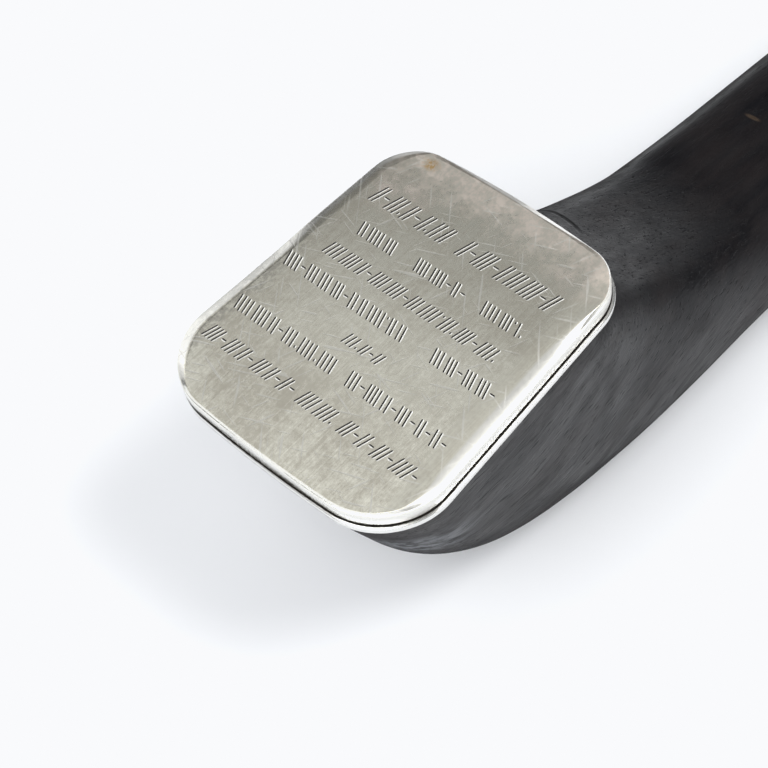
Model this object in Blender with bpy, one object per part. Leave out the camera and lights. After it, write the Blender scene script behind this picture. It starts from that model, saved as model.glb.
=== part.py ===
"""Ceremonial gavel: a one-piece carved hardwood head and handle with a silver plate.

The head curls up from the handle and ends in a slanting face.  On that face lie a
thin silver base sheet and, on top of it, a thicker silver cap with soft shoulders.

Frame: metres, +Z up.  The gavel lies on its sole (z = 0).  +Y runs along the handle
towards its free end, +X is to the right when the plate is read from the front.  The
origin is on the flat sole, where the curve of the head runs out into the handle.
"""

import math

import bmesh
import bpy
import numpy as np
from mathutils import Vector

# ---------------------------------------------------------------- driving sizes
PLATE_LENGTH = 0.0440          # front edge to back edge, before the crowned ends
PLATE_WIDTH = 0.0378           # half way along
PLATE_TAPER = -0.122           # change of width over the length, narrower at the back
PLATE_END_CROWN = 0.0010       # how far the front and back edges bow out
FRONT_CORNER = 0.0090          # corner radii seen from above
BACK_CORNER = 0.0057
PLATE_TILT = math.radians(10.5)    # the face leans forward by this much
PLATE_Y = -0.0370              # centre of the cap's underside
PLATE_Z = 0.0392

CAP_WALL = 0.00115             # upright edge of the cap
CAP_RISE = 0.00110             # height of the soft shoulder above that edge
SIDE_SHOULDER = 0.0026         # width of the shoulder along the sides
END_SHOULDER = 0.0010          # and along the front and back
BASE_THICKNESS = 0.0008
BASE_MARGIN = 0.00025          # how far the base sheet stands out all round
BASE_SHIFT = 0.00025           # it sits a little to the right of the cap
FIT_GAP = 0.0003               # between pieces that touch

HANDLE_WIDTH = 0.0308
HANDLE_HEIGHT = 0.0178
HANDLE_END_WIDTH = 0.0270
HANDLE_END_HEIGHT = 0.0155
HANDLE_UNDERSIDE_RISE = 0.0012     # lift of the underside at the free end
HANDLE_END_Y = 0.1460
END_DOME = 0.0090              # length of the rounded free end
TOP_POWER = 3.6                # 2 is an ellipse, more is squarer: upper half of the section
SOLE_POWER = 1.9               # and lower half
SECTION_TAPER = 0.146          # how much narrower the section gets towards its top

CHIN_ANGLE = math.radians(64.1)    # below the horizontal, where the front leaves the plate
CHIN_PULL = 0.0307             # how long the front keeps that direction
SOLE_PULL = 0.0417             # and how long it keeps the direction of the sole
SCOOP_ANGLE = math.radians(91.7)   # below the horizontal, behind the plate
SCOOP_PULL = 0.0143
SCOOP_RUNOUT = 0.0096
SCOOP_END_Y = 0.0307           # where the scoop has become the top of the handle
SOLE_CUT = 0.0006              # depth planed off the underside to make it flat
WIDTH_BLEND_START = -0.0030    # from the plate's centre, where the body starts to narrow
WIDTH_BLEND = 0.0758           # distance over which plate width becomes handle width
SECTION_BLEND = 2.4            # how quickly the plate's outline turns into the handle's section

BEND_RINGS = 26
HANDLE_RINGS = 12
DOME_RINGS = 5
CORNER_POINTS = 10
STRAIGHT_POINTS = 4
SHOULDER_STEPS = 6

WOOD_COLOUR = (0.026, 0.023, 0.023, 1.0)
SILVER_COLOUR = (0.72, 0.70, 0.66, 1.0)


# ---------------------------------------------------------------- helpers
def clear_scene():
    for thing in list(bpy.data.objects):
        bpy.data.objects.remove(thing, do_unlink=True)


def make_material(name, colour, roughness, metallic):
    material = bpy.data.materials.new(name)
    material.use_nodes = True
    shader = material.node_tree.nodes["Principled BSDF"]
    shader.inputs["Base Color"].default_value = colour
    shader.inputs["Roughness"].default_value = roughness
    shader.inputs["Metallic"].default_value = metallic
    return material


def smooth_step(value):
    t = np.clip(value, 0.0, 1.0)
    return t * t * (3.0 - 2.0 * t)


def loft(name, rings, material, sharp_angle):
    """Join closed rings of points into one solid, first and last ring filled."""
    mesh_data = bmesh.new()
    layers = []
    for ring in rings:
        layers.append([mesh_data.verts.new(Vector(point)) for point in ring])
    count = len(layers[0])
    for lower, upper in zip(layers, layers[1:]):
        for i in range(count):
            j = (i + 1) % count
            mesh_data.faces.new((lower[i], lower[j], upper[j], upper[i]))
    mesh_data.faces.new(list(reversed(layers[0])))
    mesh_data.faces.new(layers[-1])
    bmesh.ops.recalc_face_normals(mesh_data, faces=mesh_data.faces)
    mesh = bpy.data.meshes.new(name)
    mesh_data.to_mesh(mesh)
    mesh_data.free()
    mesh.shade_smooth()
    mesh.set_sharp_from_angle(angle=math.radians(sharp_angle))
    mesh.materials.append(material)
    thing = bpy.data.objects.new(name, mesh)
    bpy.context.collection.objects.link(thing)
    return thing


# ---------------------------------------------------------------- outline of the plate
def corner_arc(centre, radius, start):
    angles = np.linspace(start, start + math.pi / 2, CORNER_POINTS)
    return [(centre[0] + radius * math.cos(a), centre[1] + radius * math.sin(a)) for a in angles]


def straight_run(start, end):
    steps = np.linspace(0.0, 1.0, STRAIGHT_POINTS + 2)[1:-1]
    return [(start[0] + (end[0] - start[0]) * t, start[1] + (end[1] - start[1]) * t) for t in steps]


def plate_outline():
    """Rounded rectangle, narrowed towards the back, with slightly bowed ends."""
    half_w = PLATE_WIDTH / 2
    half_l = PLATE_LENGTH / 2
    back, front = BACK_CORNER, FRONT_CORNER
    corners = [
        corner_arc((half_w - back, half_l - back), back, 0.0),
        corner_arc((-half_w + back, half_l - back), back, math.pi / 2),
        corner_arc((-half_w + front, -half_l + front), front, math.pi),
        corner_arc((half_w - front, -half_l + front), front, 1.5 * math.pi),
    ]
    points = []
    for i, corner in enumerate(corners):
        points += corner
        points += straight_run(corner[-1], corners[(i + 1) % 4][0])
    outline = np.array(points)
    along = outline[:, 1] / PLATE_LENGTH
    across = outline[:, 0] / half_w
    outline[:, 1] += np.sign(outline[:, 1]) * PLATE_END_CROWN * (1 - across ** 2) * 2 * abs(along)
    outline[:, 0] *= 1 + PLATE_TAPER * along
    return outline


def grown(outline, side, end):
    """Move the outline outwards by `side` on the sides and `end` at the ends."""
    step = np.roll(outline, -1, axis=0) - np.roll(outline, 1, axis=0)
    outward = np.stack([step[:, 1], -step[:, 0]], axis=1)
    outward /= np.linalg.norm(outward, axis=1)[:, None]
    return outline + outward * np.array([side, end])


def on_plate(outline, height):
    """Points of an outline at a height above the cap's underside, in the row frame."""
    x = outline[:, 0]
    y = PLATE_Y + outline[:, 1] * math.cos(PLATE_TILT) - height * math.sin(PLATE_TILT)
    z = PLATE_Z + outline[:, 1] * math.sin(PLATE_TILT) + height * math.cos(PLATE_TILT)
    return np.stack([x, y, z], axis=1)


# ---------------------------------------------------------------- the silver pieces
def build_cap(material):
    outline = plate_outline()
    rings = [on_plate(outline, 0.0)]
    for angle in np.linspace(0.0, math.pi / 2, SHOULDER_STEPS + 1):
        inset = 1 - math.cos(angle)
        ring = grown(outline, -SIDE_SHOULDER * inset, -END_SHOULDER * inset)
        rings.append(on_plate(ring, CAP_WALL + CAP_RISE * math.sin(angle)))
    return loft("silver_cap", rings, material, 40)


def build_base_sheet(material):
    outline = grown(plate_outline(), BASE_MARGIN, BASE_MARGIN)
    outline[:, 0] += BASE_SHIFT
    top = -FIT_GAP
    rings = [on_plate(outline, top - BASE_THICKNESS), on_plate(outline, top)]
    return loft("silver_base_sheet", rings, material, 40)


# ---------------------------------------------------------------- the wooden body
def bezier(points, t):
    a, b, c, d = (np.array(p) for p in points)
    t = t[:, None]
    return (1 - t) ** 3 * a + 3 * (1 - t) ** 2 * t * b + 3 * (1 - t) * t ** 2 * c + t ** 3 * d


def leaving(start, angle, pull):
    return (start[0] + pull * math.cos(angle), start[1] - pull * math.sin(angle))


def seat_edge(side):
    """Front (-1) or back (+1) edge of the wooden seat under the base sheet, as (y, z)."""
    drop = -(2 * FIT_GAP + BASE_THICKNESS)
    along = side * PLATE_LENGTH / 2
    y = PLATE_Y + along * math.cos(PLATE_TILT) - drop * math.sin(PLATE_TILT)
    z = PLATE_Z + along * math.sin(PLATE_TILT) + drop * math.cos(PLATE_TILT)
    return (y, z)


def underside_curve(t):
    start = seat_edge(-1)
    end = (0.0, -SOLE_CUT)
    before_end = (-SOLE_PULL, -SOLE_CUT)
    return bezier([start, leaving(start, CHIN_ANGLE, CHIN_PULL), before_end, end], t)


def topside_curve(t):
    start = seat_edge(1)
    end = (SCOOP_END_Y, HANDLE_HEIGHT)
    runout = (SCOOP_END_Y - SCOOP_RUNOUT, HANDLE_HEIGHT)
    return bezier([start, leaving(start, SCOOP_ANGLE, SCOOP_PULL), runout, end], t)


def handle_lines(t):
    """Underside and topside of the handle, from the end of the bend to the dome."""
    dome_y = HANDLE_END_Y - END_DOME
    lift = (HANDLE_UNDERSIDE_RISE + SOLE_CUT) * smooth_step((t - 0.45) / 0.55)
    under = np.stack([dome_y * t, lift - SOLE_CUT], axis=1)
    y_top = SCOOP_END_Y + (dome_y - SCOOP_END_Y) * t
    end_top = HANDLE_UNDERSIDE_RISE + HANDLE_END_HEIGHT
    z_top = HANDLE_HEIGHT + (end_top - HANDLE_HEIGHT) * smooth_step((t - 0.25) / 0.75)
    return under, np.stack([y_top, z_top], axis=1)


def half_width(y):
    """Half width of the body at a place along it."""
    from_plate = smooth_step((y - PLATE_Y - WIDTH_BLEND_START) / WIDTH_BLEND)
    neck = PLATE_WIDTH / 2 + (HANDLE_WIDTH - PLATE_WIDTH) / 2 * from_plate
    to_end = smooth_step((y - 0.05) / (HANDLE_END_Y - 0.05))
    return neck + (HANDLE_END_WIDTH - HANDLE_WIDTH) / 2 * to_end


def unit_sections():
    """The plate's outline and the handle's section, both in a box from -1 to 1."""
    outline = plate_outline()
    plate = outline / np.array([PLATE_WIDTH / 2, PLATE_LENGTH / 2])
    turn = np.arctan2(plate[:, 1], plate[:, 0])
    across, up = np.cos(turn), np.sin(turn)
    power = SOLE_POWER + (TOP_POWER - SOLE_POWER) * smooth_step((up + 0.35) / 0.7)
    reach = (abs(across) ** power + abs(up) ** power) ** (1 / power)
    return plate, np.stack([across, up], axis=1) / reach[:, None]


def blended_section(blend):
    """The plate's outline (0) turning into the handle's section (1)."""
    plate, handle = unit_sections()
    section = plate * (1 - blend) + handle * blend
    section[:, 0] *= 1 - SECTION_TAPER * blend * section[:, 1]
    return section


def section_ring(section, width, under, top):
    """Set a unit section between an underside point and a topside point."""
    middle = (under + top) / 2
    reach = (top - under) / 2
    x = section[:, 0] * width
    y = middle[0] + section[:, 1] * reach[0]
    z = middle[1] + section[:, 1] * reach[1]
    return np.stack([x, y, z], axis=1)


def body_rings():
    rings = []
    t = np.linspace(0.0, 1.0, BEND_RINGS)
    for step, under, top in zip(t, underside_curve(t), topside_curve(t)):
        section = blended_section(1 - (1 - step) ** SECTION_BLEND)
        rings.append(section_ring(section, half_width((under[0] + top[0]) / 2), under, top))
    handle = blended_section(1.0)
    under_line, top_line = handle_lines(np.linspace(0.0, 1.0, HANDLE_RINGS)[1:])
    for under, top in zip(under_line, top_line):
        rings.append(section_ring(handle, half_width((under[0] + top[0]) / 2), under, top))
    last = rings[-1]
    centre = last.mean(axis=0)
    for angle in np.linspace(0.0, math.radians(78), DOME_RINGS + 1)[1:]:
        ring = centre + (last - centre) * math.cos(angle)
        ring[:, 1] += END_DOME * math.sin(angle)
        rings.append(ring)
    return rings


def build_body(material):
    """The curved body, with everything below the table planed off flat."""
    rings = body_rings()
    for ring in rings:
        ring[:, 2] = np.maximum(ring[:, 2], 0.0)
    return loft("wooden_body", rings, material, 50)


def main():
    clear_scene()
    wood = make_material("dark_hardwood", WOOD_COLOUR, 0.38, 0.0)
    cap_silver = make_material("cap_silver", SILVER_COLOUR, 0.30, 1.0)
    base_silver = make_material("base_silver", SILVER_COLOUR, 0.28, 1.0)
    build_body(wood)
    build_base_sheet(base_silver)
    build_cap(cap_silver)


main()
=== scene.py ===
"""Looks of the ceremonial gavel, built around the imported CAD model.

Three pieces replace the three CAD nodes and keep their shapes: the carved wooden body,
the thin silver base sheet and the engraved silver cap.  They are lofted from the same
driving sizes as the CAD, with finer rings, softened edges, tool marks and engraving.

Frame: metres, +Z up, +Y along the handle, +X to the right when the plate is read.
"""

import math
import random

import bmesh
import bpy
import numpy as np
from mathutils import Matrix, Vector, noise


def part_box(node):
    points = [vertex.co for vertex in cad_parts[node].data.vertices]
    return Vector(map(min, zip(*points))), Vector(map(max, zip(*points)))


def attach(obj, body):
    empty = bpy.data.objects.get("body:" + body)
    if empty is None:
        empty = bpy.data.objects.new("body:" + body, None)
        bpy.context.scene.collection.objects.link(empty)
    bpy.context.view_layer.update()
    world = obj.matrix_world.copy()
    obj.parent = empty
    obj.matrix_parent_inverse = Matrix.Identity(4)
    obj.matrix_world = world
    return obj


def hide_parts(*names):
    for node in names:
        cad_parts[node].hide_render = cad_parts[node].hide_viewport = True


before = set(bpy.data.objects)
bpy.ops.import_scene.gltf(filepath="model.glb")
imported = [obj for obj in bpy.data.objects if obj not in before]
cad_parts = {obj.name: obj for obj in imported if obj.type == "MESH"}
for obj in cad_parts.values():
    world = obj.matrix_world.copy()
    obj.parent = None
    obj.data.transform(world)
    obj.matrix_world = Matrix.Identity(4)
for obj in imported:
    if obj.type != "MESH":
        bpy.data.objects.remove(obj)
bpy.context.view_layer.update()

# ---------------------------------------------------------------- sizes shared with the CAD
PLATE_LENGTH = 0.0440          # front edge to back edge, before the crowned ends
PLATE_WIDTH = 0.0378           # half way along
PLATE_TAPER = -0.122           # change of width over the length, narrower at the back
PLATE_END_CROWN = 0.0010       # how far the front and back edges bow out
FRONT_CORNER = 0.0090          # corner radii seen from above
BACK_CORNER = 0.0057
PLATE_TILT = math.radians(10.5)    # the face leans forward by this much
PLATE_Y = -0.0370              # centre of the cap's underside
PLATE_Z = 0.0392

CAP_WALL = 0.00115             # upright edge of the CAD cap
CAP_RISE = 0.00110             # and the height of its shoulder above that edge
CAP_TOP = CAP_WALL + CAP_RISE  # the plate's flat, above the cap's underside
BASE_THICKNESS = 0.0008
BASE_MARGIN = 0.00025          # how far the base sheet stands out all round
BASE_SHIFT = 0.00025           # it sits a little to the right of the cap
FIT_GAP = 0.0003               # between pieces that touch

HANDLE_WIDTH = 0.0308
HANDLE_HEIGHT = 0.0178
HANDLE_END_WIDTH = 0.0270
HANDLE_END_HEIGHT = 0.0155
HANDLE_UNDERSIDE_RISE = 0.0012     # lift of the underside at the free end
HANDLE_END_Y = 0.1460
HANDLE_NARROWS_Y = 0.05        # where the handle starts to narrow towards its end
END_DOME = 0.0090              # length of the rounded free end
TOP_POWER = 3.6                # 2 is an ellipse, more is squarer: upper half of the section
SOLE_POWER = 1.9               # and lower half
SECTION_TAPER = 0.146          # how much narrower the section gets towards its top

CHIN_ANGLE = math.radians(64.1)    # below the horizontal, where the front leaves the plate
CHIN_PULL = 0.0307             # how long the front keeps that direction
SOLE_PULL = 0.0417             # and how long it keeps the direction of the sole
SCOOP_ANGLE = math.radians(91.7)   # below the horizontal, behind the plate
SCOOP_PULL = 0.0143
SCOOP_RUNOUT = 0.0096
SCOOP_END_Y = 0.0307           # where the scoop has become the top of the handle
SOLE_CUT = 0.0006              # depth planed off the underside to make it flat
WIDTH_BLEND_START = -0.0030    # from the plate's centre, where the body starts to narrow
WIDTH_BLEND = 0.0758           # distance over which plate width becomes handle width
SECTION_BLEND = 2.4            # how quickly the plate's outline turns into the handle's section

# ---------------------------------------------------------------- sizes of the fine forms
CORNER_POINTS = 26
STRAIGHT_POINTS = 50
BEND_RINGS = 110
BEND_CROWDING = 1.15           # above 1, the bend's rings lie closer near the plate
HANDLE_RINGS = 56
DOME_RINGS = 16
DOME_TURN = math.radians(86)   # how far round the free end is rounded

LEFT_SHOULDER = 0.0017         # the cap's soft shoulder is narrower on the left
RIGHT_SHOULDER = 0.0027
FRONT_SHOULDER = 0.0003        # and only a narrow worn edge at the front and back
BACK_SHOULDER = 0.00024
LEFT_DROP = 0.00045            # how far the shoulder falls before the cap's upright edge
LEFT_BACK_DROP = 0.00016       # less on the left near the back
RIGHT_DROP = 0.00044
FRONT_DROP = 0.00036
BACK_DROP = 0.00014
RIGHT_GROWTH = (0.0180, 0.0060)            # places along the plate where the right shoulder
RIGHT_SHRINK = (-0.0205, -0.0115)          # starts and is full, at the back and at the front
LEFT_GROWTH = (0.0070, -0.0020)            # between these the left one comes to fall further
LEFT_REACH = 0.15              # how far a side's shoulder reaches round the corners: the sideways
RIGHT_REACH = 0.55             # part of the outward direction at which it starts
LEFT_SWELL = 1.3               # 1 is a plain bevel, more is softer towards the flat
RIGHT_SWELL = 2.2
END_SWELL = 1.1
SHOULDER_EDGE = 0.00012        # rounding between the shoulder and the upright edge
SHOULDER_STEPS = 18
CAP_BURR = 0.00010             # bevel under the cap's upright edge
FLAT_RIM = 0.0004              # ring that keeps the flat's shading flat

CREASE_ANGLE = math.radians(62)    # where on the section the crease behind the plate runs
CREASE_DEPTH = 0.020           # as a share of the section's size
CREASE_SOFTNESS = 0.12         # radians over which the wood below the crease falls away
CREASE_FADE = 1.1              # radians over which it comes back to the plain section
CREASE_START = 0.06            # shares of the bend: over which the crease comes in,
CREASE_END = 0.75              # at which it has gone,
CREASE_RUNOUT = 0.3            # and over which it goes

SEAT_ROUND = 0.00035           # softening of the wood's edge round the seat
SEAT_RINGS = 9                 # the rings it may reach, counted from the seat
TOOL_MARKS = 0.00007           # depth of the hand-carved unevenness
TOOL_MARK_FREQUENCIES = (95.0, 230.0)      # of its broad and its fine waves, in one metre
TOOL_MARK_SHARES = (0.75, 0.25)
TOOL_MARK_SHIFT = Vector((7, 3, 1))        # sets the fine waves apart from the broad ones
SOLE_CALM = 0.004              # height over which the waves come in above the sole
SHEET_BEVEL = 0.00010          # softening of the base sheet's edges
LEDGE_SKEW = 0.00015           # the sheet's ledge at the ends is wider on the right
GRIME_AND_SHADE_REACH = 0.00020          # how far from the cap the grime and painted shade lie on the ledge

STROKE_WIDTH = 0.00027
STROKE_DEPTH = 0.00012
STROKE_CLEAR = 0.00062         # free room round a lone dash or dot
STROKE_POINT = 0.45            # length of a stroke's pointed end, as a share of its width
STROKE_POINT_SIZE = 0.35       # how small the stroke's section is at its tip
STROKE_SEED = 41
TICKS = (2, 4)                 # fewest and most ticks of a group
TICK_PITCH = (0.00052, 0.00066)
TICK_LENGTH = (0.88, 0.96)     # as shares of the row's height, like the next three
DASH_LENGTH = 0.22
DOT_LENGTH = 0.08
DOT_RISE = 0.3                 # above or below the middle of the row
DASH_CHANCE = 0.45
DOT_CHANCE = 0.20


# ---------------------------------------------------------------- general helpers
def smooth_step(value):
    t = np.clip(value, 0.0, 1.0)
    return t * t * (3.0 - 2.0 * t)


def new_object(name, mesh, *materials):
    for material in materials:
        mesh.materials.append(material)
    thing = bpy.data.objects.new(name, mesh)
    bpy.context.scene.collection.objects.link(thing)
    return thing


def loft_mesh(name, rings, sharp_angle):
    """A closed mesh through rings of points, first and last ring filled."""
    count = len(rings[0])
    points = np.concatenate(rings)
    faces = []
    for layer in range(len(rings) - 1):
        low = layer * count
        high = low + count
        for i in range(count):
            j = (i + 1) % count
            faces.append((low + i, low + j, high + j, high + i))
    faces.append(tuple(reversed(range(count))))
    faces.append(tuple(range(len(points) - count, len(points))))
    mesh = bpy.data.meshes.new(name)
    mesh.from_pydata(points.tolist(), [], faces)
    work = bmesh.new()
    work.from_mesh(mesh)
    bmesh.ops.recalc_face_normals(work, faces=work.faces)
    work.to_mesh(mesh)
    work.free()
    shade(mesh, sharp_angle)
    return mesh


def shade(mesh, sharp_angle):
    """Smooth shading, but for edges sharper than an angle in degrees."""
    mesh.shade_smooth()
    mesh.set_sharp_from_angle(angle=math.radians(sharp_angle))


# ---------------------------------------------------------------- outline of the plate
def corner_arc(centre, radius, start):
    angles = np.linspace(start, start + math.pi / 2, CORNER_POINTS)
    return [(centre[0] + radius * math.cos(a), centre[1] + radius * math.sin(a)) for a in angles]


def straight_run(start, end):
    steps = np.linspace(0.0, 1.0, STRAIGHT_POINTS + 2)[1:-1]
    return [(start[0] + (end[0] - start[0]) * t, start[1] + (end[1] - start[1]) * t) for t in steps]


def plate_outline():
    """Rounded rectangle, narrowed towards the back, with slightly bowed ends."""
    half_w = PLATE_WIDTH / 2
    half_l = PLATE_LENGTH / 2
    back, front = BACK_CORNER, FRONT_CORNER
    corners = [
        corner_arc((half_w - back, half_l - back), back, 0.0),
        corner_arc((-half_w + back, half_l - back), back, math.pi / 2),
        corner_arc((-half_w + front, -half_l + front), front, math.pi),
        corner_arc((half_w - front, -half_l + front), front, 1.5 * math.pi),
    ]
    points = []
    for i, corner in enumerate(corners):
        points += corner
        points += straight_run(corner[-1], corners[(i + 1) % 4][0])
    outline = np.array(points)
    along = outline[:, 1] / PLATE_LENGTH
    across = outline[:, 0] / half_w
    outline[:, 1] += np.sign(outline[:, 1]) * PLATE_END_CROWN * (1 - across ** 2) * 2 * abs(along)
    outline[:, 0] *= 1 + PLATE_TAPER * along
    return outline


def outward_normals(outline):
    step = np.roll(outline, -1, axis=0) - np.roll(outline, 1, axis=0)
    outward = np.stack([step[:, 1], -step[:, 0]], axis=1)
    return outward / np.linalg.norm(outward, axis=1)[:, None]


def grown(outline, amount):
    """The outline moved outwards; amount is one number or one pair a point."""
    return outline + outward_normals(outline) * amount


def by_side(outline, left, right, front, back):
    """A value a point: the left or right one on the long sides, else the front or back one."""
    normals = outward_normals(outline)
    start = np.where(outline[:, 0] < 0, LEFT_REACH, RIGHT_REACH)
    sideways = smooth_step((abs(normals[:, 0]) - start) / (1 - start))
    side = left + (right - left) * smooth_step((outline[:, 0] / (PLATE_WIDTH / 2) + 1) / 2)
    end = front + (back - front) * smooth_step((outline[:, 1] / (PLATE_LENGTH / 2) + 1) / 2)
    return end + (side - end) * sideways


def ramp_between(values, limits):
    """0 at the first limit, 1 at the second."""
    return smooth_step((values - limits[0]) / (limits[1] - limits[0]))


def shoulder_widths(outline):
    """How wide the soft shoulder is at each point; the right one is narrow at both corners."""
    share = ramp_between(outline[:, 1], RIGHT_GROWTH) * ramp_between(outline[:, 1], RIGHT_SHRINK)
    right = BACK_SHOULDER + (RIGHT_SHOULDER - BACK_SHOULDER) * share
    return by_side(outline, LEFT_SHOULDER, right, FRONT_SHOULDER, BACK_SHOULDER)[:, None]


def shoulder_drops(outline):
    """How far the shoulder falls before the cap's upright edge."""
    left = LEFT_BACK_DROP + (LEFT_DROP - LEFT_BACK_DROP) * ramp_between(outline[:, 1], LEFT_GROWTH)
    return by_side(outline, left, RIGHT_DROP, FRONT_DROP, BACK_DROP)


def on_plate(outline, height):
    """Points of an outline at one height, or one height a point, above the cap's underside."""
    x = outline[:, 0]
    y = PLATE_Y + outline[:, 1] * math.cos(PLATE_TILT) - height * math.sin(PLATE_TILT)
    z = PLATE_Z + outline[:, 1] * math.sin(PLATE_TILT) + height * math.cos(PLATE_TILT)
    return np.stack([x, y, z], axis=1)


# ---------------------------------------------------------------- shader helpers
class Shader:
    """A Principled material built from small node helpers.

    Textures read Object coordinates: every piece's object sits at the origin, so they
    are metres in the row frame.
    """

    def __init__(self, name):
        self.material = bpy.data.materials.new(name)
        self.material.use_nodes = True
        self.tree = self.material.node_tree
        self.surface = self.tree.nodes["Principled BSDF"]
        self.place = self.tree.nodes.new("ShaderNodeTexCoord").outputs["Object"]

    def set(self, **values):
        for name, value in values.items():
            self.surface.inputs[name.replace("_", " ")].default_value = value

    def link(self, source, name):
        self.tree.links.new(source, self.surface.inputs[name])

    def feed(self, socket, value):
        if isinstance(value, bpy.types.NodeSocket):
            self.tree.links.new(value, socket)
        else:
            socket.default_value = value

    def turned(self, rotation=(0, 0, 0), scale=(1, 1, 1), place=None):
        """Coordinates turned by a rotation in degrees, then stretched."""
        turn = self.tree.nodes.new("ShaderNodeVectorRotate")
        turn.rotation_type = "EULER_XYZ"
        turn.inputs["Rotation"].default_value = [math.radians(a) for a in rotation]
        self.tree.links.new(place or self.place, turn.inputs["Vector"])
        stretch = self.tree.nodes.new("ShaderNodeVectorMath")
        stretch.operation = "MULTIPLY"
        stretch.inputs[1].default_value = scale
        self.tree.links.new(turn.outputs[0], stretch.inputs[0])
        return stretch.outputs[0]

    def noise(self, place, scale=1.0, detail=2.0, roughness=0.5, distortion=0.0):
        node = self.tree.nodes.new("ShaderNodeTexNoise")
        node.inputs["Scale"].default_value = scale
        node.inputs["Detail"].default_value = detail
        node.inputs["Roughness"].default_value = roughness
        node.inputs["Distortion"].default_value = distortion
        self.tree.links.new(place, node.inputs["Vector"])
        return node.outputs["Fac"]

    def remap(self, value, low, high, to_low=0.0, to_high=1.0, smooth=True):
        node = self.tree.nodes.new("ShaderNodeMapRange")
        node.interpolation_type = "SMOOTHSTEP" if smooth else "LINEAR"
        node.inputs["From Min"].default_value = low
        node.inputs["From Max"].default_value = high
        node.inputs["To Min"].default_value = to_low
        node.inputs["To Max"].default_value = to_high
        self.tree.links.new(value, node.inputs["Value"])
        return node.outputs["Result"]

    def math(self, operation, a, b=0.0):
        node = self.tree.nodes.new("ShaderNodeMath")
        node.operation = operation
        self.feed(node.inputs[0], a)
        self.feed(node.inputs[1], b)
        return node.outputs[0]

    def total(self, *terms):
        """Sum of (value, weight) pairs."""
        result = None
        for value, weight in terms:
            part = self.math("MULTIPLY", value, weight)
            result = part if result is None else self.math("ADD", result, part)
        return result

    def mix(self, share, a, b):
        node = self.tree.nodes.new("ShaderNodeMix")
        node.data_type = "RGBA"
        self.feed(node.inputs["Factor"], share)
        self.feed(node.inputs["A"], a)
        self.feed(node.inputs["B"], b)
        return node.outputs["Result"]

    def axis(self, place, name):
        """One of a place's three coordinates."""
        node = self.tree.nodes.new("ShaderNodeSeparateXYZ")
        self.tree.links.new(place, node.inputs[0])
        return node.outputs[name]

    def spot(self, centre, sizes, edge=0.4):
        """1 within an ellipsoid round a point, fading out at its edge."""
        away = self.tree.nodes.new("ShaderNodeVectorMath")
        away.operation = "SUBTRACT"
        away.inputs[1].default_value = centre
        self.tree.links.new(self.place, away.inputs[0])
        shrunk = self.turned(scale=[1 / size for size in sizes], place=away.outputs[0])
        length = self.tree.nodes.new("ShaderNodeVectorMath")
        length.operation = "LENGTH"
        self.tree.links.new(shrunk, length.inputs[0])
        return self.remap(length.outputs["Value"], 1 - edge, 1 + edge, 1.0, 0.0)

    def attribute(self, name):
        node = self.tree.nodes.new("ShaderNodeAttribute")
        node.attribute_name = name
        return node.outputs["Fac"]

    def facing(self):
        """0 where the surface is seen square on, towards 1 where it is seen edge on."""
        return self.tree.nodes.new("ShaderNodeLayerWeight").outputs["Facing"]

    def bump(self, height, distance, strength=1.0, before=None):
        node = self.tree.nodes.new("ShaderNodeBump")
        node.inputs["Strength"].default_value = strength
        node.inputs["Distance"].default_value = distance
        self.tree.links.new(height, node.inputs["Height"])
        if before is not None:
            self.tree.links.new(before, node.inputs["Normal"])
        return node.outputs["Normal"]


# ---------------------------------------------------------------- materials
WOOD_DARK = (0.0034, 0.0033, 0.0046, 1)
WOOD_WARM = (0.0100, 0.0076, 0.0080, 1)
WOOD_PORE = (0.0030, 0.0027, 0.0030, 1)
WOOD_BROWN_MARK = (0.050, 0.034, 0.022, 1)
# Painted reflection: the light bluish grey that stands in for the table mirrored in the chin
WOOD_PAINTED_REFLECTION = (0.12, 0.126, 0.136, 1)
GRAIN_TILT = -6.0              # degrees by which the grain is tilted against the handle
SCORED_CREST = (-0.0105, 0.0053)           # x and y of the crest of a bowed line behind the plate
SCORED_BOW = 33.0              # how strongly it bows, in one metre
SCORED_END = -0.0022           # x of its right end
SCORED_LOW = 0.018             # height below which it doesn't show
BROWN_MARK = ((-0.0040, 0.0462, 0.0178), (0.0012, 0.0004, 0.0020))     # its centre and sizes
CHIN_REFLECTION_PATCH = ((0.0162, -0.0500, 0.0250), (0.0050, 0.0066, 0.0034))     # painted reflection of the white table: a light patch on the chin


def scored_line(s):
    """How near a point is to the thin line scored into the wood behind the plate, 1 on it."""
    x = s.axis(s.place, "X")
    away = s.math("SUBTRACT", x, SCORED_CREST[0])
    bow = s.math("MULTIPLY", s.math("MULTIPLY", away, away), SCORED_BOW)
    off = s.math("ADD", s.math("SUBTRACT", s.axis(s.place, "Y"), SCORED_CREST[1]), bow)
    near = s.remap(s.math("ABSOLUTE", off), 0.00005, 0.00060, 0.75, 0.0)
    near = s.math("MULTIPLY", near, s.remap(x, SCORED_END - 0.0030, SCORED_END, 1.0, 0.0))
    return s.math("MULTIPLY", near, s.remap(s.axis(s.place, "Z"), SCORED_LOW, SCORED_LOW + 0.002))


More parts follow.
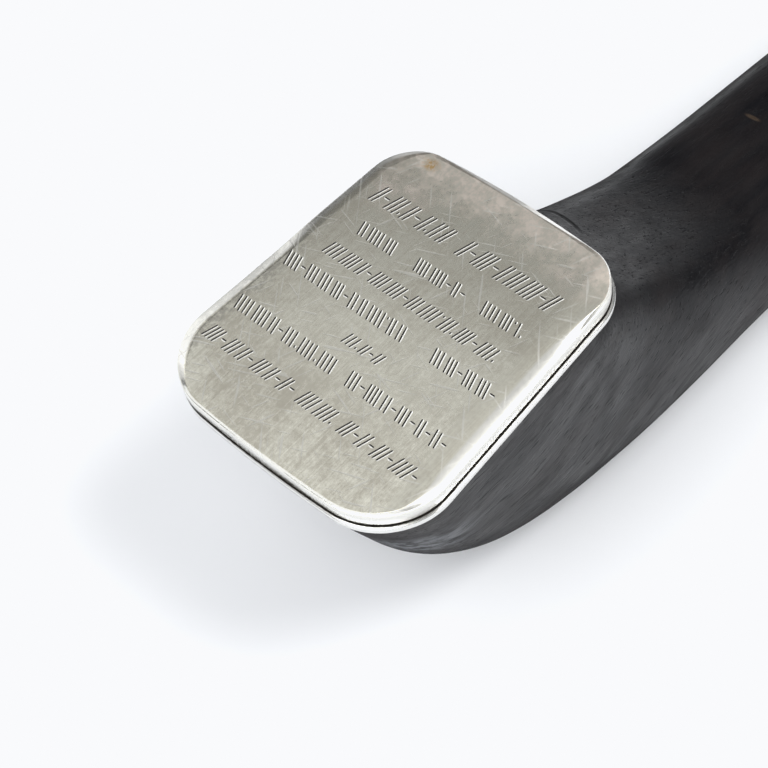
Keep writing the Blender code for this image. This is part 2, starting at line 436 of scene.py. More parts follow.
def make_wood():
    """Near-black close-grained wood, rubbed to a satin gloss, with fine open pores."""
    s = Shader("dark_hardwood_look")
    grain = (GRAIN_TILT, 0, 0)
    tone = s.noise(s.turned(grain, (230, 22, 230)), detail=4, roughness=0.6, distortion=0.4)
    streak = s.noise(s.turned(grain, (900, 60, 900)), detail=3, roughness=0.6)
    cloud = s.noise(s.turned(scale=(60, 45, 60)), detail=3)
    rubbed = s.noise(s.turned(grain, (620, 130, 620)), detail=5, roughness=0.62, distortion=0.3)
    pores = s.remap(s.noise(s.turned(grain, (3000, 330, 3000)), detail=1), 0.60, 0.72)
    fibre = s.noise(s.turned(grain, (2400, 120, 2400)), detail=2, roughness=0.6)
    haze = s.noise(s.turned(grain, (300, 110, 300)), detail=5, roughness=0.62)
    scored = scored_line(s)
    warm = s.total((tone, 0.50), (streak, 0.25), (cloud, 0.25))
    colour = s.mix(s.remap(warm, 0.40, 0.66), WOOD_DARK, WOOD_WARM)
    colour = s.mix(s.math("MULTIPLY", pores, 0.45), colour, WOOD_PORE)
    colour = s.mix(s.math("MULTIPLY", s.spot(*BROWN_MARK), 0.8), colour, WOOD_BROWN_MARK)
    colour = s.mix(scored, colour, WOOD_PORE)
    # Painted reflection: a light bluish patch on the chin stands in for the white table mirrored there.
    painted_light_mask = s.math("MULTIPLY", s.spot(*CHIN_REFLECTION_PATCH, edge=0.6), s.remap(streak, 0.35, 0.65))
    colour = s.mix(painted_light_mask, colour, WOOD_PAINTED_REFLECTION)
    s.link(colour, "Base Color")
    rough = s.total((haze, 0.34), (rubbed, 0.22), (tone, 0.12), (cloud, 0.24), (pores, 0.16), (fibre, 0.10))
    satin = s.remap(rough, 0.37, 0.64, 0.22, 0.56, smooth=False)
    # Seen along its surface, open-pored wood shines less than polish would.
    edge_on = s.remap(s.facing(), 0.62, 0.96)
    s.link(s.total((satin, 1.0), (edge_on, 0.42), (scored, 0.3)), "Roughness")
    s.set(IOR=1.35)
    height = s.total((pores, -0.4), (fibre, 0.5), (rubbed, 1.1), (tone, 0.5), (scored, -2.0))
    s.link(s.bump(height, 0.00006, 1.0), "Normal")
    return s.material


SILVER = (0.84, 0.82, 0.705, 1)
SILVER_DULL = (0.61, 0.575, 0.48, 1)
SILVER_PAINTED_REFLECTION = (0.97, 0.95, 0.82, 1)
SILVER_DARK = (0.34, 0.33, 0.30, 1)
SILVER_PAINTED_GLINT = (0.97, 0.965, 0.94, 1)        # painted glint: the fine bright line along the worn back edge
SILVER_EDGE = (0.80, 0.797, 0.775, 1)
SILVER_CLEAN = (0.88, 0.87, 0.82, 1)      # where edges and cuts are rubbed bright; in the scratches also a painted glint
SILVER_GRIME_AND_SHADE = (0.045, 0.040, 0.035, 1)
SILVER_STAIN = (0.66, 0.43, 0.17, 1)
SILVER_WARM = (1.0, 0.90, 0.79, 1)
STAIN_PLACE = (-0.0123, 0.0206)            # across and along the plate, from its middle
STAIN_SIZE = (0.0011, 0.0008, 0.0010)
WARM_PLACES = [(-0.0128, 0.0153), (0.0136, 0.0190)]
WARM_PATCH = (0.0040, 0.0030, 0.0030)
SCRATCHES = [                              # angle in degrees, spacing, length
    (24, 0.00030, 0.0060), (-37, 0.00034, 0.0075), (68, 0.00030, 0.0050), (-72, 0.00036, 0.0060),
]
CAP_NOISES = {                             # waves in one metre across, along and through; detail; roughness
    "brushed": ((5200, 95, 5200), 3, 0.7),
    "broad": ((900, 26, 900), 3, 0.6),
    "tarnish": ((85, 60, 85), 5, 0.62),
    "mottle": ((420, 360, 420), 4, 0.7),
    "speckle": ((1900, 1500, 1900), 2, 0.7),
}

PLATE_TURN = (-math.degrees(PLATE_TILT), 0, 0)     # lays the plate's plane flat

# Height of the flat and place of the plate's middle once the plate's plane is laid flat.
FLAT_HEIGHT = PLATE_Z * math.cos(PLATE_TILT) - PLATE_Y * math.sin(PLATE_TILT) + CAP_TOP
PLATE_MIDDLE = PLATE_Y * math.cos(PLATE_TILT) + PLATE_Z * math.sin(PLATE_TILT)


def plate_point(x, along):
    """A point of the flat in the row frame."""
    return on_plate(np.array([[x, along]]), CAP_TOP)[0].tolist()


def scratches(s, flat):
    """Sparse fine lines at several angles to the plate's length, 1 on a line."""
    result = None
    for angle, spacing, length in SCRATCHES:
        wander = s.turned((0, 0, angle), (1 / spacing, 1 / length, 1 / length), flat)
        line = s.remap(s.noise(wander, detail=0.0, distortion=0.12), 0.745, 0.80)
        result = line if result is None else s.math("MAXIMUM", result, line)
    return result


def plate_places(s, flat):
    """Each point's height above the flat, place along the plate, and place across it untapered."""
    above = s.math("SUBTRACT", s.axis(flat, "Z"), FLAT_HEIGHT)
    along = s.math("SUBTRACT", s.axis(flat, "Y"), PLATE_MIDDLE)
    untapered = s.math("ADD", s.math("MULTIPLY", along, -PLATE_TAPER / PLATE_LENGTH), 1.0)
    return above, along, s.math("MULTIPLY", s.axis(flat, "X"), untapered)


def cap_textures(s, flat):
    """The cap's noises and its scratches, by name."""
    textures = {}
    for name, (scale, detail, roughness) in CAP_NOISES.items():
        textures[name] = s.noise(s.turned(scale=scale, place=flat), detail=detail, roughness=roughness)
    textures["lines"] = scratches(s, flat)
    return textures


def weighed(s, textures, **weights):
    """Sum of some textures, each times its weight."""
    return s.total(*((textures[name], weight) for name, weight in weights.items()))


def tarnished(s, textures, along, across, back):
    """Silver duller in patches, lighter by a painted reflection in a band in front of the middle, warm at
    the back and dark on the left.
    """
    mottle, speckle = textures["mottle"], textures["speckle"]
    dull = weighed(s, textures, tarnish=0.6, broad=0.15, mottle=0.35, speckle=0.40, brushed=0.40)
    colour = s.mix(s.remap(dull, 0.74, 1.16), SILVER, SILVER_DULL)
    # Painted reflection: a lighter band across the flat, a little in front of its middle and away from the
    # left edge, stands in for brighter reflected light there.
    rubbed = s.remap(s.math("ABSOLUTE", s.math("ADD", along, 0.005)), 0.002, 0.011, 0.28, 0.0)
    colour = s.mix(s.math("MULTIPLY", rubbed, s.remap(across, -0.016, -0.006)), colour, SILVER_PAINTED_REFLECTION)
    patchy = weighed(s, textures, mottle=0.5, speckle=0.5)
    warm = s.math("MULTIPLY", back, s.remap(patchy, 0.40, 0.60, 0.40, 0.95))
    for place in WARM_PLACES:
        patch = s.spot(plate_point(*place), WARM_PATCH, edge=0.7)
        warm = s.math("MAXIMUM", warm, s.math("MULTIPLY", patch, s.remap(mottle, 0.42, 0.62, 0.2, 0.9)))
    colour = s.mix(warm, colour, SILVER_WARM)
    border = s.remap(s.total((across, 1.0), (mottle, 0.0030)), -0.0155, -0.0135, 1.0, 0.0)
    border = s.math("MULTIPLY", border, s.remap(along, -0.002, 0.005, 1.0, 0.25))
    return s.mix(s.math("MULTIPLY", border, s.remap(speckle, 0.35, 0.62, 0.0, 0.5)), colour, SILVER_DARK)


def stained_and_scratched(s, textures, colour):
    """The small rust-brown stain, and bright clean metal in the scratches, with a painted glint."""
    stain = s.spot(plate_point(*STAIN_PLACE), STAIN_SIZE, edge=0.6)
    stain = s.math("MULTIPLY", stain, s.remap(textures["speckle"], 0.40, 0.60, 0.3, 0.9))
    colour = s.mix(stain, colour, SILVER_STAIN)
    # Partly painted highlight: the scratches are lightened for their glint as well as for clean metal.
    return s.mix(s.math("MULTIPLY", textures["lines"], 0.45), colour, SILVER_CLEAN)


def painted_glint_on_worn_bevel(s, above, along, across):
    """1 on the worn bevel along the back edge, where a glint is painted, fainter on its left half."""
    half = PLATE_LENGTH / 2
    line = s.remap(above, -0.00010, -0.00006, 1.0, 0.0)
    line = s.math("MULTIPLY", line, s.remap(along, half - 0.0060, half - 0.0015))
    line = s.math("MULTIPLY", line, s.remap(above, -0.00030, -0.00020))
    return s.math("MULTIPLY", line, s.remap(across, 0.0, 0.006, 0.3, 1.0))


def make_cap_silver():
    """Old silver, brushed lengthwise, with fine scratches, warm tarnish and one small stain."""
    s = Shader("cap_silver_look")
    flat = s.turned(PLATE_TURN)
    above, along, across = plate_places(s, flat)
    textures = cap_textures(s, flat)
    right = s.remap(across, 0.0145, 0.0165)
    ragged = s.total((along, 1.0), (textures["mottle"], 0.010), (textures["speckle"], 0.004))
    back = s.remap(ragged, 0.0225, 0.0290)
    # Painted highlight: the worn back bevel gets a near-white colour that stands in for its glint.
    painted_light_mask = painted_glint_on_worn_bevel(s, above, along, across)

    colour = tarnished(s, textures, along, across, back)
    colour = stained_and_scratched(s, textures, colour)
    below_flat = s.remap(above, -0.00011, -0.00004, 0.85, 0.0)
    edge = s.mix(s.remap(above, -0.0009, -0.0006), SILVER_EDGE, SILVER_CLEAN)
    colour = s.mix(below_flat, colour, edge)
    s.link(s.mix(painted_light_mask, colour, SILVER_PAINTED_GLINT), "Base Color")

    rough = weighed(s, textures, tarnish=0.45, mottle=0.30, speckle=0.35, brushed=0.30, lines=0.25)
    satin = s.remap(rough, 0.50, 0.95, 0.17, 0.36, smooth=False)
    s.link(s.total((satin, 1.0), (right, 0.13), (back, 0.12), (painted_light_mask, 0.25)), "Roughness")
    # Less metallic on that line, so that its painted near-white colour shows as a glint.
    s.link(s.remap(painted_light_mask, 0.0, 1.0, 1.0, 0.35), "Metallic")

    calm = s.remap(right, 0.0, 1.0, 1.0, 0.25)
    height = weighed(s, textures, brushed=0.5, broad=0.15, lines=-0.5, speckle=0.35, mottle=0.15)
    fine = s.bump(s.math("MULTIPLY", height, calm), 0.000006, 0.8)
    wave = s.noise(s.turned(scale=(120, 70, 120), place=flat), detail=1)
    s.link(s.bump(s.math("MULTIPLY", wave, calm), 0.00005, 0.5, fine), "Normal")
    return s.material


def make_stroke_patina():
    """Blackened bottoms of the engraved strokes."""
    s = Shader("stroke_patina")
    crust = s.noise(s.turned(scale=(3500, 3500, 3500)), detail=2)
    s.link(s.mix(crust, (0.010, 0.010, 0.010, 1), (0.066, 0.062, 0.056, 1)), "Base Color")
    s.link(s.remap(crust, 0.3, 0.7, 0.45, 0.65), "Roughness")
    s.set(Metallic=0.6)
    s.link(s.bump(crust, 0.00001), "Normal")
    return s.material


def make_stroke_painted_highlight():
    """Painted highlight on the lit side of each stroke: near-white and barely metallic, standing in for the
    glint of the graver-cut wall.
    """
    s = Shader("stroke_painted_highlight")
    grain = s.noise(s.turned(scale=(4000, 4000, 4000)), detail=2)
    s.link(s.mix(grain, (0.82, 0.81, 0.75, 1), (0.98, 0.97, 0.92, 1)), "Base Color")
    s.link(s.remap(grain, 0.3, 0.7, 0.45, 0.60), "Roughness")
    s.set(Metallic=0.25)
    s.link(s.bump(grain, 0.00001), "Normal")
    return s.material


def make_base_silver():
    """Thin polished sheet, with black patchy grime and painted shade on the ledge close to the cap."""
    s = Shader("base_silver_look")
    flat = s.turned(PLATE_TURN)
    patch = s.noise(s.turned(scale=(1100, 700, 1100), place=flat), detail=4, roughness=0.7)
    fine = s.noise(s.turned(scale=(4500, 1200, 4500), place=flat), detail=2)
    # Painted shade and grime: the ledge beside the cap goes near-black, for the shade in the gap between
    # the parts as well as dirt.
    edge = s.total((s.attribute("under_cap"), 1.0), (patch, 0.9))
    grime_and_shade = s.remap(edge, 0.78, 1.05)
    s.link(s.mix(grime_and_shade, SILVER_EDGE, SILVER_GRIME_AND_SHADE), "Base Color")
    s.link(s.remap(s.math("ADD", fine, grime_and_shade), 0.3, 1.5, 0.16, 0.60), "Roughness")
    s.set(Metallic=1.0)
    s.link(s.bump(s.total((fine, 0.5), (patch, 0.5)), 0.00002, 0.7), "Normal")
    return s.material


def make_floor_paper():
    """Matt white table."""
    s = Shader("white_table")
    soft = s.noise(s.turned(scale=(18, 18, 18)), detail=2)
    s.link(s.mix(soft, (0.86, 0.868, 0.882, 1), (0.87, 0.878, 0.892, 1)), "Base Color")
    s.set(Roughness=0.9)
    return s.material


# ---------------------------------------------------------------- the silver base sheet
def build_base_sheet(material):
    """The sheet with softened edges; its attribute says how near the cap a ledge's point lies."""
    outline = plate_outline()
    across = outline[:, 0] / (PLATE_WIDTH / 2)
    ends = smooth_step((abs(outward_normals(outline)[:, 1]) - 0.5) / 0.5)
    margin = BASE_MARGIN + LEDGE_SKEW * across * ends
    top = -FIT_GAP
    bottom = top - BASE_THICKNESS
    soft = SHEET_BEVEL
    levels = [
        (-soft, bottom),
        (-soft * 0.3, bottom + soft * 0.3),
        (0.0, bottom + soft),
        (0.0, top - soft),
        (-soft * 0.3, top - soft * 0.3),
        (-soft, top),
        (-soft * 1.4, top),
        (-soft * 1.9, top),
        (-soft * 2.6, top),
        (-soft * 5, top),
    ]
    rings = []
    under = []
    for inset, height in levels:
        ring = grown(outline, (margin + inset)[:, None])
        ring[:, 0] += BASE_SHIFT
        rings.append(on_plate(ring, height))
        clear = margin + BASE_SHIFT * outward_normals(outline)[:, 0] + inset
        near = 1 - np.clip(clear / GRIME_AND_SHADE_REACH, 0.0, 1.0)
        under.append(near if height == top else near * 0.0)
    mesh = loft_mesh("base_sheet_visual", rings, sharp_angle=40)
    keep_in_box(mesh, "silver_base_sheet")
    under = np.concatenate(under).astype(np.float32)
    mesh.attributes.new("under_cap", "FLOAT", "POINT").data.foreach_set("value", under)
    sheet = new_object("silver_base_sheet_polished", mesh, material)
    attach(sheet, "root")
    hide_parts("silver_base_sheet")
    return sheet


# ---------------------------------------------------------------- the engraved cap
# Each row of strokes: distance from the plate's centre towards the handle, height of the
# row, lean of its ticks in radians, and the stretches of it that hold strokes.
ENGRAVED_ROWS = [
    (0.0133, 0.0030, 0.30, ((-0.0146, -0.0030), (-0.0005, 0.0141))),
    (0.0080, 0.0021, -0.26, ((-0.0126, -0.0064), (-0.0034, 0.0045), (0.0072, 0.0126))),
    (0.0035, 0.0022, 0.24, ((-0.0138, 0.0130),)),
    (-0.0007, 0.0023, -0.30, ((-0.0168, 0.0026), (0.0070, 0.0166))),
    (-0.00505, 0.0017, 0.26, ((-0.0028, 0.0030),)),
    (-0.0091, 0.0023, -0.24, ((-0.0170, -0.0006), (0.0013, 0.0164))),
    (
        -0.0143, 0.0023, 0.30,
        ((-0.0168, -0.0105), (-0.0088, -0.0037), (-0.0013, 0.0038), (0.0053, 0.0164)),
    ),
]


def row_strokes(row, draw):
    """Groups of equal ticks that all lean one way, with lone dashes and dots between them."""
    middle_y, height, lean, stretches = row
    strokes = []

    def add(x, y, length, angle):
        half = np.array([math.sin(angle), math.cos(angle)]) * length / 2
        middle = np.array([x + y * math.tan(lean), middle_y + y])
        strokes.append((middle - half, middle + half))

    for start, end in stretches:
        x = start
        while x < end:
            pitch = draw.uniform(*TICK_PITCH)
            for _ in range(draw.randint(*TICKS)):
                if x >= end:
                    break
                add(x, 0.0, height * draw.uniform(*TICK_LENGTH), lean)
                x += pitch
            x += STROKE_CLEAR - pitch
            kind = draw.random()
            if kind < DASH_CHANCE:
                dash = height * DASH_LENGTH
                add(x + dash / 2, 0.0, dash, math.pi / 2)
                x += dash + STROKE_CLEAR
            elif kind < DASH_CHANCE + DOT_CHANCE:
                add(x, height * draw.choice((-DOT_RISE, DOT_RISE)), height * DOT_LENGTH, lean)
                x += STROKE_CLEAR
            else:
                x += STROKE_CLEAR * 0.5
    return strokes


# Cross-section of a stroke from its left rim to its right rim, as shares of its width and
# depth: a steep left wall, blackened like the bottom, and a shallow right one, as a tilted graver leaves;
# the right one carries a painted highlight.
STROKE_SECTION = [(-0.60, 0.25), (-0.5, 0.0), (-0.16, -1.0), (0.16, -0.36), (0.74, 0.0), (0.90, 0.25)]
STROKE_PAINTED_HIGHLIGHT_WALL = 3         # the section's span from this point to the next gets the painted highlight
PATINA_INDEX = 1               # places of the materials on the cap, after the plain silver
PAINTED_HIGHLIGHT_INDEX = 2
TRULY_FLAT = 0.999999          # cosine to the plate's normal


def stroke_cutter(stroke, shape):
    """Add one stroke's cutting body to a bmesh, in plate coordinates."""
    a, b = stroke
    along = (b - a) / np.linalg.norm(b - a)
    side = np.array([along[1], -along[0]])
    points_left_or_back = side[0] - side[1] / 2 < 0
    if points_left_or_back:
        side = -side
    tip = along * (STROKE_WIDTH * STROKE_POINT)
    stations = ((a - tip, STROKE_POINT_SIZE), (a, 1.0), (b, 1.0), (b + tip, STROKE_POINT_SIZE))
    rings = []
    for place, share in stations:
        ring = []
        for across, height in STROKE_SECTION:
            low = height * STROKE_DEPTH * (share if height < 0 else 1.0)
            point = place + side * across * STROKE_WIDTH * share
            ring.append(shape.verts.new(Vector((point[0], point[1], CAP_TOP + low))))
        rings.append(ring)
    count = len(STROKE_SECTION)
    for first, second in zip(rings, rings[1:]):
        for i in range(count):
            j = (i + 1) % count
            face = shape.faces.new((first[i], first[j], second[j], second[i]))
            # The shallow right wall gets the painted highlight, the other faces the blackened patina.
            face.material_index = PAINTED_HIGHLIGHT_INDEX if i == STROKE_PAINTED_HIGHLIGHT_WALL else PATINA_INDEX
    for ring in (rings[0], rings[-1]):
        face = shape.faces.new(ring)
        face.material_index = PATINA_INDEX


def to_row_frame(mesh):
    """Turn a mesh in plate coordinates (x, along, height) into the row frame."""
    mesh.transform(Matrix.Translation((0, PLATE_Y, PLATE_Z)) @ Matrix.Rotation(PLATE_TILT, 4, "X"))


def make_stroke_cutters(materials):
    """One object that holds a cutting body for every stroke."""
    draw = random.Random(STROKE_SEED)
    shape = bmesh.new()
    for row in ENGRAVED_ROWS:
        for stroke in row_strokes(row, draw):
            stroke_cutter(stroke, shape)
    bmesh.ops.recalc_face_normals(shape, faces=shape.faces)
    mesh = bpy.data.meshes.new("stroke_cutters")
    cutters = new_object("stroke_cutters", mesh, *materials)
    shape.to_mesh(mesh)
    shape.free()
    to_row_frame(mesh)
    return cutters


def shade_flat_as_plane(mesh):
    """Keep the shading of the plate's flat plain between the strokes."""
    top = Vector((0, -math.sin(PLATE_TILT), math.cos(PLATE_TILT)))
    for face in mesh.polygons:
        if face.normal.dot(top) > TRULY_FLAT:
            face.use_smooth = False


def engrave(cap, materials):
    """Cut every stroke out of the cap in one exact Boolean."""
    cutters = make_stroke_cutters(materials)
    cut = cap.modifiers.new("engraving", "BOOLEAN")
    cut.operation = "DIFFERENCE"
    cut.solver = "EXACT"
    cut.material_mode = "TRANSFER"
    cut.object = cutters
    bpy.context.view_layer.update()
    result = bpy.data.meshes.new_from_object(cap.evaluated_get(bpy.context.evaluated_depsgraph_get()))
    cap.modifiers.remove(cut)
    cap.data = result
    bpy.data.objects.remove(cutters)
    shade(result, sharp_angle=24)
    shade_flat_as_plane(result)


def build_cap(silver, patina, bright):
    """Upright wall, soft shoulders and a flat top with engraved rows."""
    outline = plate_outline()
    widths = shoulder_widths(outline)
    drops = shoulder_drops(outline)
    swell = by_side(outline, LEFT_SWELL, RIGHT_SWELL, END_SWELL, END_SWELL)
    rings = [
        on_plate(grown(outline, -CAP_BURR), 0.0),
        on_plate(grown(outline, -CAP_BURR * 0.3), CAP_BURR * 0.3),
        on_plate(outline, CAP_BURR),
        on_plate(outline, CAP_TOP - drops - SHOULDER_EDGE),
        on_plate(grown(outline, -SHOULDER_EDGE * 0.3), CAP_TOP - drops - SHOULDER_EDGE * 0.3),
    ]
    for share in np.linspace(0.0, 1.0, SHOULDER_STEPS + 1):
        ring = grown(outline, -SHOULDER_EDGE - (widths - SHOULDER_EDGE) * share)
        rings.append(on_plate(ring, CAP_TOP - drops * (1 - share) ** swell))
    rings.append(on_plate(grown(outline, -widths - FLAT_RIM), CAP_TOP))
    cap = new_object("silver_cap_engraved", loft_mesh("cap_visual", rings, sharp_angle=30), silver)
    # bright is the painted highlight material on the strokes' lit walls.
    engrave(cap, (silver, patina, bright))
    keep_in_box(cap.data, "silver_cap")
    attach(cap, "root")
    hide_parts("silver_cap")
    return cap


# ---------------------------------------------------------------- the wooden body
def bezier(points, t):
    a, b, c, d = (np.array(p) for p in points)
    t = t[:, None]
    return (1 - t) ** 3 * a + 3 * (1 - t) ** 2 * t * b + 3 * (1 - t) * t ** 2 * c + t ** 3 * d


def leaving(start, angle, pull):
    return (start[0] + pull * math.cos(angle), start[1] - pull * math.sin(angle))


def seat_edge(side):
    """Front (-1) or back (+1) edge of the wooden seat under the base sheet, as (y, z)."""
    drop = -(2 * FIT_GAP + BASE_THICKNESS)
    along = side * PLATE_LENGTH / 2
    y = PLATE_Y + along * math.cos(PLATE_TILT) - drop * math.sin(PLATE_TILT)
    z = PLATE_Z + along * math.sin(PLATE_TILT) + drop * math.cos(PLATE_TILT)
    return (y, z)


def underside_curve(t):
    start = seat_edge(-1)
    end = (0.0, -SOLE_CUT)
    before_end = (-SOLE_PULL, -SOLE_CUT)
    return bezier([start, leaving(start, CHIN_ANGLE, CHIN_PULL), before_end, end], t)


def topside_curve(t):
    start = seat_edge(1)
    end = (SCOOP_END_Y, HANDLE_HEIGHT)
    runout = (SCOOP_END_Y - SCOOP_RUNOUT, HANDLE_HEIGHT)
    return bezier([start, leaving(start, SCOOP_ANGLE, SCOOP_PULL), runout, end], t)


def handle_lines(t):
    """Underside and topside of the handle, from the end of the bend to the dome."""
    dome_y = HANDLE_END_Y - END_DOME
    lift = (HANDLE_UNDERSIDE_RISE + SOLE_CUT) * smooth_step((t - 0.45) / 0.55)
    under = np.stack([dome_y * t, lift - SOLE_CUT], axis=1)
    y_top = SCOOP_END_Y + (dome_y - SCOOP_END_Y) * t
    end_top = HANDLE_UNDERSIDE_RISE + HANDLE_END_HEIGHT
    z_top = HANDLE_HEIGHT + (end_top - HANDLE_HEIGHT) * smooth_step((t - 0.25) / 0.75)
    return under, np.stack([y_top, z_top], axis=1)


def half_width(y):
    """Half width of the body at a place along it."""
    from_plate = smooth_step((y - PLATE_Y - WIDTH_BLEND_START) / WIDTH_BLEND)
    neck = PLATE_WIDTH / 2 + (HANDLE_WIDTH - PLATE_WIDTH) / 2 * from_plate
    to_end = smooth_step((y - HANDLE_NARROWS_Y) / (HANDLE_END_Y - HANDLE_NARROWS_Y))
    return neck + (HANDLE_END_WIDTH - HANDLE_WIDTH) / 2 * to_end


def unit_sections():
    """The plate's outline and the handle's section, both in a box from -1 to 1."""
    outline = plate_outline()
    plate = outline / np.array([PLATE_WIDTH / 2, PLATE_LENGTH / 2])
    turn = np.arctan2(plate[:, 1], plate[:, 0])
    across, up = np.cos(turn), np.sin(turn)
    power = SOLE_POWER + (TOP_POWER - SOLE_POWER) * smooth_step((up + 0.35) / 0.7)
    reach = (abs(across) ** power + abs(up) ** power) ** (1 / power)
    return plate, np.stack([across, up], axis=1) / reach[:, None]


def blended_section(blend):
    """The plate's outline (0) turning into the handle's section (1)."""
    plate, handle = unit_sections()
    section = plate * (1 - blend) + handle * blend
    section[:, 0] *= 1 - SECTION_TAPER * blend * section[:, 1]
    return section


def creased(section, step):
    """Drop the section a little below a line that runs from the plate's back corners."""
    lift = np.arctan2(section[:, 1], abs(section[:, 0]))
    below = np.clip(CREASE_ANGLE - lift, 0.0, None)
    depth = CREASE_DEPTH * (1 - np.exp(-below / CREASE_SOFTNESS))
    depth *= smooth_step((CREASE_FADE - below) / CREASE_FADE * 2)
    depth *= smooth_step(step / CREASE_START) * smooth_step((CREASE_END - step) / CREASE_RUNOUT)
    return section * (1 - depth)[:, None]


def section_ring(section, width, under, top):
    """Set a unit section between an underside point and a topside point."""
    middle = (under + top) / 2
    reach = (top - under) / 2
    x = section[:, 0] * width
    y = middle[0] + section[:, 1] * reach[0]
    z = middle[1] + section[:, 1] * reach[1]
    return np.stack([x, y, z], axis=1)


def body_rings():
    rings = []
    t = np.linspace(0.0, 1.0, BEND_RINGS) ** BEND_CROWDING
    for step, under, top in zip(t, underside_curve(t), topside_curve(t)):
        section = creased(blended_section(1 - (1 - step) ** SECTION_BLEND), step)
        rings.append(section_ring(section, half_width((under[0] + top[0]) / 2), under, top))
    soften_seat(rings)
    handle = blended_section(1.0)
    under_line, top_line = handle_lines(np.linspace(0.0, 1.0, HANDLE_RINGS)[1:])
    for under, top in zip(under_line, top_line):
        rings.append(section_ring(handle, half_width((under[0] + top[0]) / 2), under, top))
    last = rings[-1]
    centre = last.mean(axis=0)
    for angle in np.linspace(0.0, DOME_TURN, DOME_RINGS + 1)[1:]:
        ring = centre + (last - centre) * math.cos(angle)
        ring[:, 1] += END_DOME * math.sin(angle)
        rings.append(ring)
    return rings


def soften_seat(rings):
    """Round over the wood's sharp edge round the seat."""
    seat = rings[0]
    middle = seat.mean(axis=0)
    inward = middle - seat
    inward /= np.linalg.norm(inward, axis=1)[:, None]
    for ring in rings[1:SEAT_RINGS]:
        depth = np.linalg.norm(ring - seat, axis=1)
        short = np.clip(1 - depth / SEAT_ROUND, 0.0, 1.0)
        pull = SEAT_ROUND * (1 - np.sqrt(1 - short ** 2))
        ring += inward * pull[:, None]
    rings[0] = seat + inward * SEAT_ROUND


def carve(mesh):
    """Shallow unevenness from hand carving, fading out towards the sole."""
    for vertex, normal in zip(mesh.vertices, [v.normal.copy() for v in mesh.vertices]):
        place = vertex.co
        broad = noise.noise(place * TOOL_MARK_FREQUENCIES[0]) * TOOL_MARK_SHARES[0]
        fine = noise.noise(place * TOOL_MARK_FREQUENCIES[1] + TOOL_MARK_SHIFT) * TOOL_MARK_SHARES[1]
        fade = min(1.0, max(0.0, place.z / SOLE_CALM))
        vertex.co = place + normal * (broad + fine) * TOOL_MARKS * fade


def keep_in_box(mesh, node):
    """Hold every vertex inside the CAD node's own box."""
    low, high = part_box(node)
    for vertex in mesh.vertices:
        vertex.co = [min(max(c, a), b) for c, a, b in zip(vertex.co, low, high)]


def build_body(material):
    mesh = loft_mesh("body_visual", body_rings(), sharp_angle=60)
    carve(mesh)
    keep_in_box(mesh, "wooden_body")
    body = new_object("wooden_body_carved", mesh, material)
    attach(body, "root")
    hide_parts("wooden_body")
    return body


# ---------------------------------------------------------------- table, light and camera
FLOOR_SIZE = 8.0
FLOOR_DROP = 0.00005           # the table lies this far below the sole
# The key light: angles in degrees, and its share of the light that makes white paper white.
KEY = {"azimuth": 22, "elevation": 61, "half_angle": 10, "share": 0.30}
SOFTBOX_DISTANCE = 1.3
SKY_LOW = 0.08                 # radiance of the dim room at the horizon
SKY_HIGH = 0.26                # and overhead
SKY_RISE = (0.60, 0.88)        # upward part of the direction between which it changes
SKY_COLOUR = (0.978, 0.990, 1.010, 1)
# Soft lights of the room: directions in degrees, full within one angle, gone beyond the other.
SKY_GLOWS = [
    {"azimuth": -75, "elevation": 35, "inner": 20, "outer": 40, "radiance": 4.4},
    {"azimuth": 195, "elevation": 69, "inner": 17.5, "outer": 21, "radiance": 0.68},
    {"azimuth": 45, "elevation": 5, "inner": 15, "outer": 33, "radiance": 0.85},
    {"azimuth": 107, "elevation": 4, "inner": 11, "outer": 18, "radiance": 1.05},
    {"azimuth": 174, "elevation": 24, "inner": 11, "outer": 16, "radiance": 1.2},
    {"azimuth": 203, "elevation": 27, "inner": 13, "outer": 18, "radiance": 0.9},
]
WHITE_LIMITS = (0.948, 0.956, 0.973)       # the brightest red, green and blue of the picture

VIEW_AIM = Vector((0.00506, -0.04448, 0.04010))
VIEW_AZIMUTH = math.radians(42.873)
VIEW_ELEVATION = math.radians(48.689)
VIEW_DISTANCE = 0.21909
VIEW_LENS = 89.06              # millimetres, like the sensor's width
VIEW_SENSOR = 36.0


def build_floor():
    half = FLOOR_SIZE / 2
    corners = [(-half, -half), (half, -half), (half, half), (-half, half)]
    mesh = bpy.data.meshes.new("table")
    mesh.from_pydata([(x, y, -FLOOR_DROP) for x, y in corners], [], [(0, 1, 2, 3)])
    floor = new_object("table", mesh, make_floor_paper())


def direction(azimuth, elevation):
    azimuth, elevation = math.radians(azimuth), math.radians(elevation)
    flat = math.cos(elevation)
    return Vector((math.cos(azimuth) * flat, math.sin(azimuth) * flat, math.sin(elevation)))


def softbox(name, azimuth, elevation, half_angle, share):
    """A round soft light on the table; share is the light it gives, 1 lighting white paper white."""
    towards = direction(azimuth, elevation)
    data = bpy.data.lights.new(name, "AREA")
    data.shape = "DISK"
    data.size = 2 * SOFTBOX_DISTANCE * math.tan(math.radians(half_angle))
    data.energy = share * math.pi ** 2 * SOFTBOX_DISTANCE ** 2 / towards.z
    lamp = bpy.data.objects.new(name, data)
    lamp.location = VIEW_AIM + towards * SOFTBOX_DISTANCE
    lamp.rotation_mode = "QUATERNION"
    lamp.rotation_quaternion = towards.to_track_quat("Z", "Y")
    bpy.context.scene.collection.objects.link(lamp)


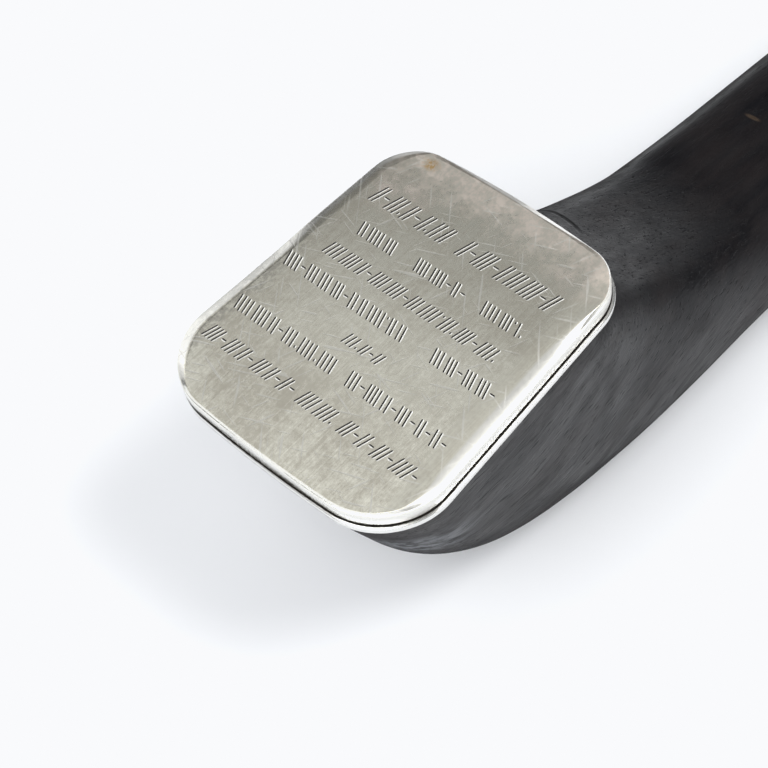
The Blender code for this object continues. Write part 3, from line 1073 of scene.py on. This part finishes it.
def build_sky():
    """A dim plain room with broad soft lights."""
    world = bpy.data.worlds.new("studio")
    world.use_nodes = True
    bpy.context.scene.world = world
    tree = world.node_tree
    background = tree.nodes["Background"]
    looking = tree.nodes.new("ShaderNodeTexCoord").outputs["Generated"]

    def ramp(value, low, high, to_low, to_high):
        node = tree.nodes.new("ShaderNodeMapRange")
        node.interpolation_type = "SMOOTHSTEP"
        for name, number in zip(("From Min", "From Max", "To Min", "To Max"), (low, high, to_low, to_high)):
            node.inputs[name].default_value = number
        tree.links.new(value, node.inputs["Value"])
        return node.outputs["Result"]

    def facing(axis):
        node = tree.nodes.new("ShaderNodeVectorMath")
        node.operation = "DOT_PRODUCT"
        node.inputs[1].default_value = axis
        tree.links.new(looking, node.inputs[0])
        return node.outputs["Value"]

    strength = ramp(facing(Vector((0, 0, 1))), *SKY_RISE, SKY_LOW, SKY_HIGH)
    for glow in SKY_GLOWS:
        edge = math.cos(math.radians(glow["outer"]))
        core = math.cos(math.radians(glow["inner"]))
        towards = facing(direction(glow["azimuth"], glow["elevation"]))
        light = ramp(towards, edge, core, 0.0, glow["radiance"])
        both = tree.nodes.new("ShaderNodeMath")
        both.operation = "ADD"
        tree.links.new(strength, both.inputs[0])
        tree.links.new(light, both.inputs[1])
        strength = both.outputs[0]
    tree.links.new(strength, background.inputs["Strength"])
    background.inputs["Color"].default_value = SKY_COLOUR


def set_picture_tone():
    """Plain colours whose brightest tones stop just short of white."""
    view = bpy.context.scene.view_settings
    view.view_transform = "Standard"
    view.use_curve_mapping = True
    curve = view.curve_mapping
    curve.extend = "HORIZONTAL"
    for channel, limit in zip(curve.curves, WHITE_LIMITS):
        channel.points[1].location = (limit, limit)
    curve.update()


def build_camera():
    data = bpy.data.cameras.new("camera")
    data.lens = VIEW_LENS
    data.sensor_width = VIEW_SENSOR
    data.clip_start = 0.01
    data.clip_end = 20.0
    camera = bpy.data.objects.new("camera", data)
    back = Vector((
        math.sin(VIEW_AZIMUTH) * math.cos(VIEW_ELEVATION),
        -math.cos(VIEW_AZIMUTH) * math.cos(VIEW_ELEVATION),
        math.sin(VIEW_ELEVATION),
    ))
    camera.location = VIEW_AIM + back * VIEW_DISTANCE
    camera.rotation_mode = "QUATERNION"
    camera.rotation_quaternion = (-back).to_track_quat("-Z", "Y")
    bpy.context.scene.collection.objects.link(camera)
    bpy.context.scene.camera = camera


build_camera()
build_floor()
softbox("key", **KEY)
build_sky()
set_picture_tone()
build_base_sheet(make_base_silver())
build_cap(make_cap_silver(), make_stroke_patina(), make_stroke_painted_highlight())
build_body(make_wood())
